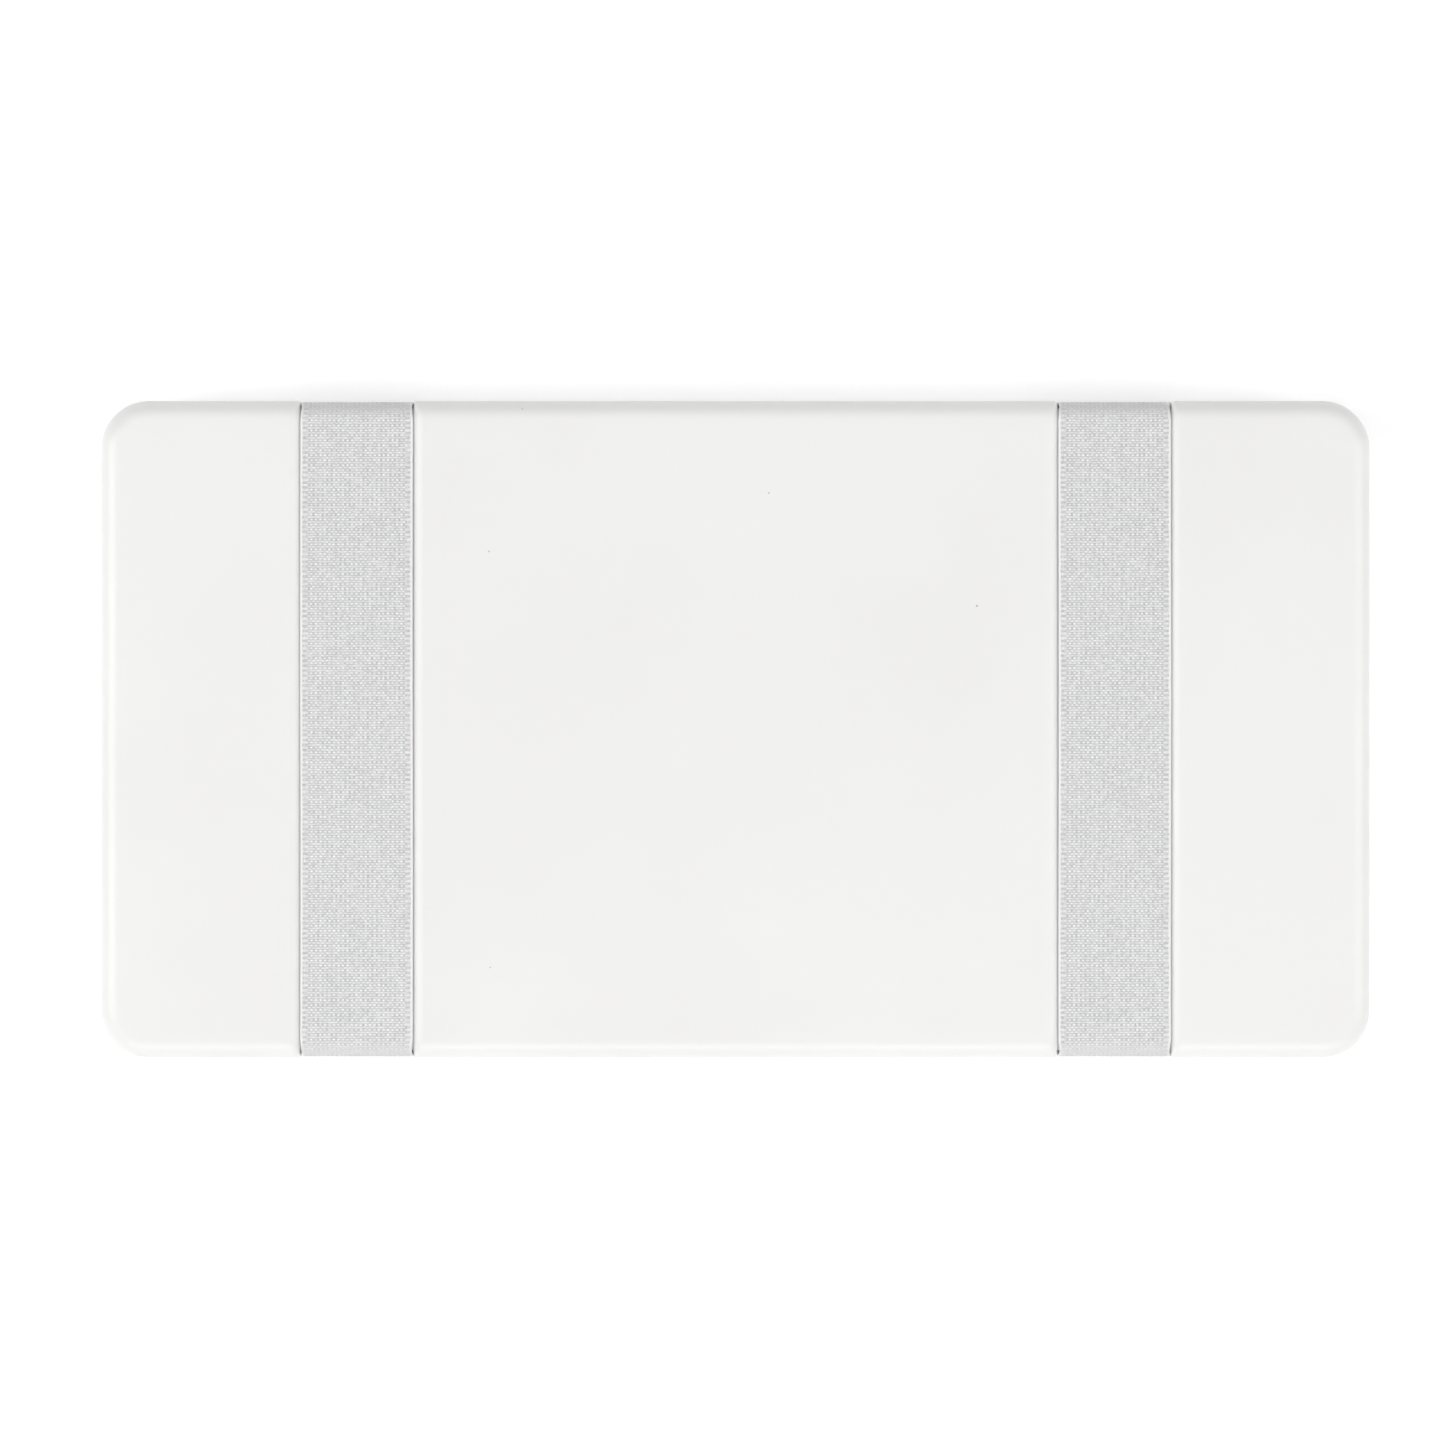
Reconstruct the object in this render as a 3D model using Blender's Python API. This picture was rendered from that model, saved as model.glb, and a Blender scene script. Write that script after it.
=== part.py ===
"""Wet palette: a shallow lidded case that keeps paint moist, held shut by two wide elastic bands.

The case lies flat with its lid up, as it is used. +X runs along its length, +Y across it and +Z up. The
origin is at the centre of the footprint, on the surface that the feet stand on. Heights are stacked from
that surface, and "inset" always means the distance inwards from the outside of the case wall.
"""

import math

import bmesh
import bpy

MM = 0.001

# Case outline
CASE_LENGTH = 282.0 * MM
CASE_WIDTH = 146.0 * MM
CORNER_RADIUS = 10.6 * MM          # of the outline, seen from above
SMALLEST_CORNER = 1.5 * MM         # of a piece nested deep inside the outline
EDGE_ROUNDING = 4.2 * MM           # where the faces turn into the side walls

# Clearances
GAP = 0.3 * MM                     # between pieces that rest on each other
RIM_CLEARANCE = 0.4 * MM           # between the lid's walls and the base's tongue
SLIP_CLEARANCE = 0.5 * MM          # between pieces that lift out

# Shell walls
WALL = 2.6 * MM
TONGUE_THICKNESS = 1.6 * MM
RIB_THICKNESS = 1.2 * MM
SHELF_REACH = 1.8 * MM             # how far the tray's ledge reaches in past the tongue
SHELF_THICKNESS = 1.6 * MM
SHELF_STEP = 0.7 * MM              # from the base's outer rim up to the ledge
INNER_FILLET = 2.0 * MM
EDGE_BREAK = 0.3 * MM              # small chamfer on moulded rims
SHARP_EDGE = 0.1 * MM              # chamfer on edges that look sharp
CHANNEL_CHAMFER = 1.2 * MM         # inside the top of the lid's seal channel

# Heights of the stack
FOOT_PROUD = 2.0 * MM
STORAGE_HEIGHT = 8.1 * MM          # clear height between the base's floor and the tray
TRAY_FLOOR = 1.4 * MM
FOAM_THICKNESS = 5.0 * MM
SHEET_THICKNESS = 0.3 * MM
TRAY_LIP = 0.4 * MM                # how far the tray's rim stands above the sheet
FLANGE_THICKNESS = 1.2 * MM
PAINT_HEIGHT = 7.4 * MM            # from the sheet up to the lid's ceiling
SEAL_HEIGHT = 2.1 * MM

# Tray and what it holds
TRAY_WALL = 1.4 * MM
TRAY_FILLET = 0.8 * MM
GRIP_LENGTH = 30.0 * MM            # finger grips at the tray's two short ends
GRIP_HEIGHT = 4.0 * MM
GRIP_ROUNDING = 3.0 * MM
FOAM_CLEARANCE = 0.7 * MM
FOAM_ROUNDING = 0.8 * MM
SHEET_MARGIN = 0.4 * MM            # the sheet ends this far inside the foam's edge

# Storage space under the tray
PACK_THICKNESS = 2.5 * MM
PACK_CORNER = 3.0 * MM
PACK_END_GAP = 25.4 * MM           # from the pack of spare sheets to the case's end walls
PACK_SIDE_GAP = 4.0 * MM           # from the pack to the case's front wall
COMB_LENGTH = 8.0 * MM             # along a stored brush
COMB_SPACING = 128.0 * MM          # between the two combs' centres
COMB_SIDE_GAP = 6.0 * MM           # from the pack to the combs
COMB_WALL_GAP = 8.9 * MM           # from the combs to the case's back wall
COMB_TOP_GAP = 0.8 * MM            # from the combs up to the tray
COMB_WEB = 1.7 * MM                # under the slots
SLOT_COUNT = 3
SLOT_WIDTH = 6.5 * MM
TOOTH_WIDTH = 2.6 * MM

# Elastic bands, and the troughs that they lie in
BAND_WIDTH = 25.0 * MM
BAND_THICKNESS = 1.0 * MM
BAND_FROM_END = 56.9 * MM          # from the case's end to the band's middle
BAND_EDGE = 0.3 * MM               # rounding of the band's selvedges
BAND_RECESS = 0.2 * MM             # how far the band's outside lies below the case's surface
TROUGH_SIDE_GAP = 0.3 * MM
SHOULDER_WIDTH = 2.2 * MM
SHOULDER_LIFT = 0.15 * MM          # the trough's shoulder starts this far above the surface
LAP_LENGTH = 18.0 * MM             # where the band's two ends overlap and are sewn
LAP_RAMP = 2.0 * MM
LAP_STEP = 0.3 * MM
LAP_CENTRE = 20.0 * MM             # along +Y, on the underside

# Sewing thread
THREAD_THICKNESS = 0.4 * MM
THREAD_MARGIN = 2.0 * MM           # from the band's edges and from the lap's ends
ZIGZAG_TEETH = 12
ZIGZAG_HEIGHT = 2.4 * MM

# Feet
FOOT_LENGTH = 22.0 * MM
FOOT_WIDTH = 10.0 * MM
FOOT_CORNER = 3.0 * MM
FOOT_EDGE = 0.4 * MM
FOOT_POCKET = 0.8 * MM
FOOT_END_MARGIN = 13.0 * MM        # from the end of the case to the foot
FOOT_SIDE_MARGIN = 10.0 * MM       # from the side of the case to the foot

# Colour of both shells
CASE_WHITE = (0.90, 0.90, 0.89)

# Fineness of round stretches
CORNER_STEPS = 8
EDGE_STEPS = 5
SHOULDER_STEPS = 5
SLOT_STEPS = 6
CUTTER_REACH = 6.0 * MM            # how far a cutter extends past the surface that it cuts

# Heights that follow from the stack
CASE_BOTTOM = FOOT_PROUD
FLOOR_TOP = CASE_BOTTOM + WALL
TRAY_BOTTOM = FLOOR_TOP + STORAGE_HEIGHT
TRAY_FLOOR_TOP = TRAY_BOTTOM + TRAY_FLOOR
FOAM_BOTTOM = TRAY_FLOOR_TOP + GAP
FOAM_TOP = FOAM_BOTTOM + FOAM_THICKNESS
SHEET_BOTTOM = FOAM_TOP + GAP
SHEET_TOP = SHEET_BOTTOM + SHEET_THICKNESS
FLANGE_TOP = SHEET_TOP + TRAY_LIP
FLANGE_BOTTOM = FLANGE_TOP - FLANGE_THICKNESS
SHELF_TOP = FLANGE_BOTTOM - GAP
BASE_RIM = SHELF_TOP - SHELF_STEP
LID_RIM = BASE_RIM + GAP
RIB_BOTTOM = FLANGE_TOP + RIM_CLEARANCE
CEILING = SHEET_TOP + PAINT_HEIGHT
CASE_TOP = CEILING + WALL
SEAL_TOP = CEILING - GAP
SEAL_BOTTOM = SEAL_TOP - SEAL_HEIGHT
TONGUE_TOP = SEAL_BOTTOM - GAP

# Insets that follow from the walls and clearances
TONGUE_OUT = WALL + RIM_CLEARANCE
TONGUE_IN = TONGUE_OUT + TONGUE_THICKNESS
RIB_OUT = TONGUE_IN + RIM_CLEARANCE
RIB_IN = RIB_OUT + RIB_THICKNESS
SHELF_IN = TONGUE_IN + SHELF_REACH
FLANGE_OUT = TONGUE_IN + SLIP_CLEARANCE
TRAY_OUT = SHELF_IN + SLIP_CLEARANCE
TRAY_IN = TRAY_OUT + TRAY_WALL
FOAM_INSET = TRAY_IN + FOAM_CLEARANCE
SHEET_INSET = FOAM_INSET + SHEET_MARGIN
SEAL_OUT = WALL + GAP
SEAL_IN = RIB_OUT - GAP

# The comb and the pack of spare sheets
COMB_WIDTH = SLOT_COUNT * SLOT_WIDTH + (SLOT_COUNT + 1) * TOOTH_WIDTH
COMB_HEIGHT = STORAGE_HEIGHT - GAP - COMB_TOP_GAP
COMB_Y = CASE_WIDTH / 2 - WALL - COMB_WALL_GAP - COMB_WIDTH / 2
PACK_LENGTH = CASE_LENGTH - 2 * (WALL + PACK_END_GAP)
PACK_FRONT = -CASE_WIDTH / 2 + WALL + PACK_SIDE_GAP
PACK_BACK = COMB_Y - COMB_WIDTH / 2 - COMB_SIDE_GAP

# The band and its trough
BAND_OFFSET = CASE_LENGTH / 2 - BAND_FROM_END
BAND_OUTSIDE = BAND_RECESS
BAND_INSIDE = BAND_OUTSIDE + BAND_THICKNESS
TROUGH_DEPTH = BAND_INSIDE + GAP
TROUGH_WIDTH = BAND_WIDTH + 2 * TROUGH_SIDE_GAP


def clear_scene():
    """Remove every object of the open file."""
    for item in list(bpy.data.objects):
        bpy.data.objects.remove(item, do_unlink=True)


def make_material(name, colour, roughness):
    """A Principled material with a plain colour."""
    material = bpy.data.materials.new(name)
    material.use_nodes = True
    shader = material.node_tree.nodes["Principled BSDF"]
    shader.inputs["Base Color"].default_value = (*colour, 1.0)
    shader.inputs["Roughness"].default_value = roughness
    shader.inputs["Metallic"].default_value = 0.0
    return material


def place(name, data, material=None, location=(0.0, 0.0, 0.0), parent=None):
    """Put a mesh or curve in the scene as a named object."""
    item = bpy.data.objects.new(name, data)
    bpy.context.scene.collection.objects.link(item)
    item.location = location
    item.parent = parent
    if material is not None and not data.materials:
        data.materials.append(material)
    return item


def make_group(name, location=(0.0, 0.0, 0.0)):
    """An empty that carries the pieces of one moving body."""
    group = bpy.data.objects.new(name, None)
    bpy.context.scene.collection.objects.link(group)
    group.location = location
    return group


def outline(half_length, half_width, radius, z):
    """A rounded rectangle at height z, anticlockwise from above."""
    points = []
    sides = ((1, 1), (-1, 1), (-1, -1), (1, -1))
    for corner, (side_x, side_y) in enumerate(sides):
        for step in range(CORNER_STEPS + 1):
            angle = math.pi / 2 * (corner + step / CORNER_STEPS)
            x = side_x * (half_length - radius) + radius * math.cos(angle)
            y = side_y * (half_width - radius) + radius * math.sin(angle)
            points.append((x, y, z))
    return points


def case_ring(inset, z):
    """The case's outline, moved inwards by inset, at height z."""
    radius = max(CORNER_RADIUS - inset, SMALLEST_CORNER)
    return outline(CASE_LENGTH / 2 - inset, CASE_WIDTH / 2 - inset, radius, z)


def arc(inset, z, radius, start, end, steps=EDGE_STEPS):
    """Profile points on an arc about (inset, z); 0 degrees points inwards and 90 points up."""
    points = []
    for step in range(steps + 1):
        angle = math.radians(start + (end - start) * step / steps)
        points.append((inset + radius * math.cos(angle), z + radius * math.sin(angle)))
    return points


def loft(name, rings, closed=False):
    """A mesh through rings of equal length: a capped solid, or a closed ring-shaped one."""
    shape = bmesh.new()
    rows = [[shape.verts.new(point) for point in ring] for ring in rings]
    pairs = list(zip(rows, rows[1:]))
    if closed:
        pairs.append((rows[-1], rows[0]))
    else:
        shape.faces.new(rows[0])
        shape.faces.new(rows[-1])
    for first, second in pairs:
        for index in range(len(first)):
            after = (index + 1) % len(first)
            shape.faces.new((first[index], first[after], second[after], second[index]))
    bmesh.ops.recalc_face_normals(shape, faces=shape.faces)
    mesh = bpy.data.meshes.new(name)
    shape.to_mesh(mesh)
    shape.free()
    mesh.shade_smooth()
    mesh.set_sharp_from_angle(angle=math.radians(35))
    return mesh


def join_meshes(name, shapes):
    """One mesh from several (mesh, location) pairs, for a cutter with separate bodies."""
    joined = bmesh.new()
    for mesh, location in shapes:
        part = bmesh.new()
        part.from_mesh(mesh)
        bmesh.ops.translate(part, vec=location, verts=part.verts)
        moved = bpy.data.meshes.new(name + "_piece")
        part.to_mesh(moved)
        part.free()
        joined.from_mesh(moved)
    mesh = bpy.data.meshes.new(name)
    joined.to_mesh(mesh)
    joined.free()
    return mesh


def make_tool(name, mesh, location=(0.0, 0.0, 0.0)):
    """An object that only cuts or adds to others."""
    tool = place(name, mesh, location=location)
    tool.hide_render = True
    tool.display_type = "WIRE"
    return tool


def combine(item, tool, operation):
    """Cut a tool out of an object, or add it on."""
    modifier = item.modifiers.new(tool.name, "BOOLEAN")
    modifier.operation = operation
    modifier.solver = "EXACT"
    modifier.object = tool


def section_loop(x, depth, lap=None):
    """The case's section across its length at x, moved inwards by depth; lap pushes the sewn stretch out."""
    radius = max(EDGE_ROUNDING - depth, SMALLEST_CORNER)
    half_width = CASE_WIDTH / 2 - depth
    low = CASE_BOTTOM + depth
    high = CASE_TOP - depth
    centres = (
        (half_width - radius, high - radius),
        (radius - half_width, high - radius),
        (radius - half_width, low + radius),
        (half_width - radius, low + radius),
    )
    lap_start = LAP_CENTRE - LAP_LENGTH / 2
    lap_end = LAP_CENTRE + LAP_LENGTH / 2
    points = []
    for corner, (centre_y, centre_z) in enumerate(centres):
        for step in range(EDGE_STEPS + 1):
            angle = math.pi / 2 * (corner + step / EDGE_STEPS)
            points.append((x, centre_y + radius * math.cos(angle), centre_z + radius * math.sin(angle)))
        if corner == 2 and lap is not None:
            points.append((x, lap_start - LAP_RAMP, low))
            points.append((x, lap_start, low - lap))
            points.append((x, lap_end, low - lap))
            points.append((x, lap_end + LAP_STEP, low))
    return points


def trough_mesh():
    """The space that a band's trough takes out of the case, as a ring round it with soft shoulders."""
    floor_edge = TROUGH_WIDTH / 2
    shoulder_edge = floor_edge + SHOULDER_WIDTH
    rings = [section_loop(-shoulder_edge, -CUTTER_REACH)]
    stations = []
    for step in range(SHOULDER_STEPS + 1):
        share = step / SHOULDER_STEPS
        smooth = share * share * (3 - 2 * share)
        depth = (TROUGH_DEPTH + SHOULDER_LIFT) * smooth - SHOULDER_LIFT
        stations.append((shoulder_edge - SHOULDER_WIDTH * share, depth))
    rings += [section_loop(-x, depth) for x, depth in stations]
    rings += [section_loop(x, depth) for x, depth in reversed(stations)]
    rings.append(section_loop(shoulder_edge, -CUTTER_REACH))
    return loft("trough", rings, closed=True)


def base_mesh():
    """The lower shell, from the middle of its underside round its wall to the middle of its floor."""
    ledge_drop = SHELF_IN - WALL
    profile = [
        *arc(EDGE_ROUNDING, CASE_BOTTOM + EDGE_ROUNDING, EDGE_ROUNDING, 270, 180),
        (0.0, BASE_RIM - EDGE_BREAK),
        (EDGE_BREAK, BASE_RIM),
        (TONGUE_OUT, BASE_RIM),
        (TONGUE_OUT, TONGUE_TOP - EDGE_BREAK),
        (TONGUE_OUT + EDGE_BREAK, TONGUE_TOP),
        (TONGUE_IN - EDGE_BREAK, TONGUE_TOP),
        (TONGUE_IN, TONGUE_TOP - EDGE_BREAK),
        (TONGUE_IN, SHELF_TOP),
        (SHELF_IN, SHELF_TOP),
        (SHELF_IN, SHELF_TOP - SHELF_THICKNESS),
        (WALL, SHELF_TOP - SHELF_THICKNESS - ledge_drop),
        *arc(WALL + INNER_FILLET, FLOOR_TOP + INNER_FILLET, INNER_FILLET, 180, 270),
    ]
    return loft("base_shell", [case_ring(inset, z) for inset, z in profile])


def lid_mesh():
    """The upper shell, from the middle of its top round its wall to the middle of its ceiling."""
    profile = [
        *arc(EDGE_ROUNDING, CASE_TOP - EDGE_ROUNDING, EDGE_ROUNDING, 90, 180),
        (0.0, LID_RIM + EDGE_BREAK),
        (EDGE_BREAK, LID_RIM),
        (WALL - EDGE_BREAK, LID_RIM),
        (WALL, LID_RIM + EDGE_BREAK),
        (WALL, CEILING - CHANNEL_CHAMFER),
        (WALL + CHANNEL_CHAMFER, CEILING),
        (RIB_OUT, CEILING),
        (RIB_OUT, RIB_BOTTOM),
        (RIB_IN, RIB_BOTTOM),
        (RIB_IN, CEILING - EDGE_BREAK),
        (RIB_IN + EDGE_BREAK, CEILING),
    ]
    return loft("lid_shell", [case_ring(inset, z) for inset, z in profile])


def seal_mesh():
    """The ring of silicone at the top of the lid's channel."""
    profile = [
        (SEAL_OUT, SEAL_BOTTOM),
        (SEAL_IN, SEAL_BOTTOM),
        (SEAL_IN, SEAL_TOP),
        (SEAL_OUT + CHANNEL_CHAMFER, SEAL_TOP),
        (SEAL_OUT, SEAL_TOP - CHANNEL_CHAMFER),
    ]
    return loft("lid_seal", [case_ring(inset, z) for inset, z in profile], closed=True)


def tray_mesh():
    """The lift-out tray that holds the foam, hung by its flange from the base's ledge."""
    profile = [
        *arc(TRAY_OUT + TRAY_FILLET, TRAY_BOTTOM + TRAY_FILLET, TRAY_FILLET, 270, 180),
        (TRAY_OUT, FLANGE_BOTTOM),
        (FLANGE_OUT, FLANGE_BOTTOM),
        (FLANGE_OUT, FLANGE_TOP - EDGE_BREAK),
        (FLANGE_OUT + EDGE_BREAK, FLANGE_TOP),
        (TRAY_IN, FLANGE_TOP),
        *arc(TRAY_IN + TRAY_FILLET, TRAY_FLOOR_TOP + TRAY_FILLET, TRAY_FILLET, 180, 270),
    ]
    return loft("palette_tray", [case_ring(inset, z) for inset, z in profile])


def grip_mesh():
    """One finger grip: the tray's end wall carried on upwards, with rounded top corners."""
    bottom = TRAY_BOTTOM + TRAY_FILLET + TRAY_FLOOR
    top = FLANGE_TOP + GRIP_HEIGHT
    half = GRIP_LENGTH / 2
    shape = [(-half, bottom), (half, bottom)]
    for side in (1, -1):
        for step in range(SLOT_STEPS + 1):
            turn = step if side == 1 else SLOT_STEPS - step
            angle = math.pi / 2 * turn / SLOT_STEPS
            y = side * (half - GRIP_ROUNDING + GRIP_ROUNDING * math.cos(angle))
            shape.append((y, top - GRIP_ROUNDING + GRIP_ROUNDING * math.sin(angle)))
    # The grip is a little thinner than the wall that it stands on, so no two faces coincide.
    half_thickness = TRAY_WALL / 2 - EDGE_BREAK / 2
    return loft("grip", [[(x, y, z) for y, z in shape] for x in (-half_thickness, half_thickness)])


def slab_mesh(name, half_length, half_width, corner, low, high, edge):
    """A flat pad with rounded corners and chamfered edges."""
    levels = [(edge, low), (0.0, low + edge), (0.0, high - edge), (edge, high)]
    rings = []
    for inset, z in levels:
        rings.append(outline(half_length - inset, half_width - inset, corner - inset, z))
    return loft(name, rings)


def foam_mesh():
    """The foam pad that fills the tray."""
    top = FOAM_TOP - FOAM_ROUNDING
    bottom = FOAM_BOTTOM + FOAM_ROUNDING
    centre = FOAM_INSET + FOAM_ROUNDING
    profile = arc(centre, bottom, FOAM_ROUNDING, 270, 180, 3) + arc(centre, top, FOAM_ROUNDING, 180, 90, 3)
    return loft("hydration_foam", [case_ring(inset, z) for inset, z in profile])


def sheet_mesh():
    """The membrane sheet that lies on the foam."""
    levels = (SHEET_BOTTOM, SHEET_TOP)
    return loft("hydration_sheet", [case_ring(SHEET_INSET, z) for z in levels])


def comb_mesh():
    """A rubber comb whose round-bottomed slots each hold one brush handle."""
    half = COMB_WIDTH / 2
    radius = SLOT_WIDTH / 2
    shape = [(half, 0.0), (half, COMB_HEIGHT)]
    for slot in reversed(range(SLOT_COUNT)):
        centre = -half + TOOTH_WIDTH + radius + slot * (SLOT_WIDTH + TOOTH_WIDTH)
        shape.append((centre + radius, COMB_HEIGHT))
        for step in range(SLOT_STEPS + 1):
            angle = -math.pi * step / SLOT_STEPS
            height = COMB_WEB + radius + radius * math.sin(angle)
            shape.append((centre + radius * math.cos(angle), height))
        shape.append((centre - radius, COMB_HEIGHT))
    shape += [(-half, COMB_HEIGHT), (-half, 0.0)]
    ends = (-COMB_LENGTH / 2, COMB_LENGTH / 2)
    return loft("brush_comb", [[(x, y, z) for y, z in shape] for x in ends])


def band_mesh():
    """An elastic band as a closed loop round the case, with its sewn lap on the underside."""
    half = BAND_WIDTH / 2
    flat = half - BAND_EDGE
    outside = BAND_OUTSIDE
    inside = BAND_INSIDE
    rings = [
        section_loop(-flat, inside, 0.0),
        section_loop(-half, inside - BAND_EDGE, 0.0),
        section_loop(-half, outside + BAND_EDGE, BAND_THICKNESS),
        section_loop(-flat, outside, BAND_THICKNESS),
        section_loop(flat, outside, BAND_THICKNESS),
        section_loop(half, outside + BAND_EDGE, BAND_THICKNESS),
        section_loop(half, inside - BAND_EDGE, 0.0),
        section_loop(flat, inside, 0.0),
    ]
    return loft("elastic_band", rings, closed=True)


def thread_curve():
    """One thread sewn in two zigzag rows across the lap, just under the band."""
    half = BAND_WIDTH / 2 - THREAD_MARGIN
    row_offset = LAP_LENGTH / 2 - THREAD_MARGIN - ZIGZAG_HEIGHT / 2
    height = CASE_BOTTOM + BAND_OUTSIDE - BAND_THICKNESS - GAP - THREAD_THICKNESS / 2
    points = []
    for side in (-1, 1):
        for tooth in range(ZIGZAG_TEETH + 1):
            along = -half + 2 * half * tooth / ZIGZAG_TEETH
            swing = ZIGZAG_HEIGHT / 2 * (1 if tooth % 2 else -1)
            points.append((-side * along, LAP_CENTRE + side * row_offset + swing, height))
    curve = bpy.data.curves.new("band_stitching", "CURVE")
    curve.dimensions = "3D"
    curve.bevel_depth = THREAD_THICKNESS / 2
    curve.bevel_resolution = 1
    curve.use_fill_caps = True
    spline = curve.splines.new("POLY")
    spline.points.add(len(points) - 1)
    for point, place_at in zip(spline.points, points):
        point.co = (*place_at, 1.0)
    return curve


def foot_places():
    """The name and the middle of each foot."""
    reach_x = CASE_LENGTH / 2 - FOOT_END_MARGIN - FOOT_LENGTH / 2
    reach_y = CASE_WIDTH / 2 - FOOT_SIDE_MARGIN - FOOT_WIDTH / 2
    places = []
    for side_y, row in ((-1, "front"), (1, "back")):
        for side_x, column in ((-1, "left"), (1, "right")):
            places.append((f"foot_{row}_{column}", (side_x * reach_x, side_y * reach_y, 0.0)))
    return places


def add_case():
    """Both shells, with the troughs for the bands and the pockets for the feet."""
    base = place("base_shell", base_mesh(), make_material("base_plastic", CASE_WHITE, 0.28))
    lid_group = make_group("lid")
    lid = place("lid_shell", lid_mesh(), make_material("lid_plastic", CASE_WHITE, 0.28), parent=lid_group)
    silicone = make_material("seal_silicone", (0.62, 0.64, 0.66), 0.45)
    place("lid_seal", seal_mesh(), silicone, parent=lid_group)
    trough = trough_mesh()
    troughs = [(trough, (side * BAND_OFFSET, 0.0, 0.0)) for side in (-1, 1)]
    roof = CASE_BOTTOM + FOOT_POCKET
    half_length = FOOT_LENGTH / 2 + GAP
    half_width = FOOT_WIDTH / 2 + GAP
    pocket = slab_mesh("pocket", half_length, half_width, FOOT_CORNER + GAP, -CUTTER_REACH, roof, SHARP_EDGE)
    pockets = [(pocket, spot) for _, spot in foot_places()]
    combine(lid, make_tool("lid_cuts", join_meshes("lid_cuts", troughs)), "DIFFERENCE")
    combine(base, make_tool("base_cuts", join_meshes("base_cuts", troughs + pockets)), "DIFFERENCE")


def add_feet():
    """Four rubber feet, each seated in its pocket."""
    rubber = make_material("foot_rubber", (0.30, 0.31, 0.32), 0.8)
    top = CASE_BOTTOM + FOOT_POCKET - GAP
    foot = slab_mesh("foot", FOOT_LENGTH / 2, FOOT_WIDTH / 2, FOOT_CORNER, 0.0, top, FOOT_EDGE)
    for name, spot in foot_places():
        place(name, foot, rubber, spot)


def add_tray():
    """The tray with its two finger grips, and the foam and the sheet that lie in it."""
    tray_plastic = make_material("tray_plastic", (0.86, 0.87, 0.87), 0.35)
    tray = place("palette_tray", tray_mesh(), tray_plastic, parent=make_group("tray"))
    grip = grip_mesh()
    reach = CASE_LENGTH / 2 - (TRAY_OUT + TRAY_IN) / 2
    grips = join_meshes("finger_grips", [(grip, (side * reach, 0.0, 0.0)) for side in (-1, 1)])
    combine(tray, make_tool("finger_grips", grips), "UNION")
    foam = make_material("foam", (0.93, 0.86, 0.55), 0.95)
    place("hydration_foam", foam_mesh(), foam, parent=make_group("foam"))
    paper = make_material("membrane_paper", (0.93, 0.92, 0.88), 0.75)
    place("hydration_sheet", sheet_mesh(), paper, parent=make_group("sheet"))


def add_storage():
    """The pack of spare sheets and the two brush combs, on the base's floor under the tray."""
    floor = FLOOR_TOP + GAP
    half_width = (PACK_BACK - PACK_FRONT) / 2
    pack = slab_mesh(
        "spare_sheet_pack", PACK_LENGTH / 2, half_width, PACK_CORNER, 0.0, PACK_THICKNESS, SHARP_EDGE)
    paper = make_material("spare_paper", (0.94, 0.93, 0.90), 0.8)
    place("spare_sheet_pack", pack, paper, (0.0, (PACK_FRONT + PACK_BACK) / 2, floor))
    rubber = make_material("comb_rubber", (0.35, 0.36, 0.38), 0.7)
    comb = comb_mesh()
    for side, name in ((-1, "brush_comb_left"), (1, "brush_comb_right")):
        place(name, comb, rubber, (side * COMB_SPACING / 2, COMB_Y, floor))


def add_bands():
    """The two elastic bands, each with the thread that closes its loop."""
    elastic = make_material("elastic_webbing", (0.72, 0.72, 0.73), 0.9)
    thread = make_material("sewing_thread", (0.80, 0.80, 0.81), 0.7)
    band = band_mesh()
    curve = thread_curve()
    for side, word in ((-1, "left"), (1, "right")):
        group = make_group(f"band_{word}", (side * BAND_OFFSET, 0.0, 0.0))
        place(f"elastic_band_{word}", band, elastic, parent=group)
        place(f"band_stitching_{word}", curve, thread, parent=group)


def build():
    """Make the whole palette."""
    clear_scene()
    add_case()
    add_feet()
    add_tray()
    add_storage()
    add_bands()


build()
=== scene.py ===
"""The looks of the wet palette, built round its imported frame.

All lengths are in metres, in the frame's own axes: +X along the case, +Y across it, +Z up out of the lid.
"""

import math

import bmesh
import bpy
import numpy as np
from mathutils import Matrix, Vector


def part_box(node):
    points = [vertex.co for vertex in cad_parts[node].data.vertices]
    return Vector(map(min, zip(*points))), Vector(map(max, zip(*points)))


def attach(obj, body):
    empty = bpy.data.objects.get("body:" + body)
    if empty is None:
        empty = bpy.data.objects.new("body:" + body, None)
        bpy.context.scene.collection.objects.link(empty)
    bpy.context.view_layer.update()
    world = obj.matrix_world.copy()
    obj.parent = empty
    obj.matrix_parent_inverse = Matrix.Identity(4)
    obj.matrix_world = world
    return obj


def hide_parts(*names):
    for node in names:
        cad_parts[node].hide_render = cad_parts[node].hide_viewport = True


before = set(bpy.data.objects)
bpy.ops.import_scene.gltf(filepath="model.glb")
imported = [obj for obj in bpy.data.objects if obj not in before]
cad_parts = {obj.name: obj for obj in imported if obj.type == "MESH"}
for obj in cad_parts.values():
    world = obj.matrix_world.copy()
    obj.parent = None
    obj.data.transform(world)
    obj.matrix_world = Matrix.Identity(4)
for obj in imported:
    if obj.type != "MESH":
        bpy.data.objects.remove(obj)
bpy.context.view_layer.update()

MM = 0.001

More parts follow.
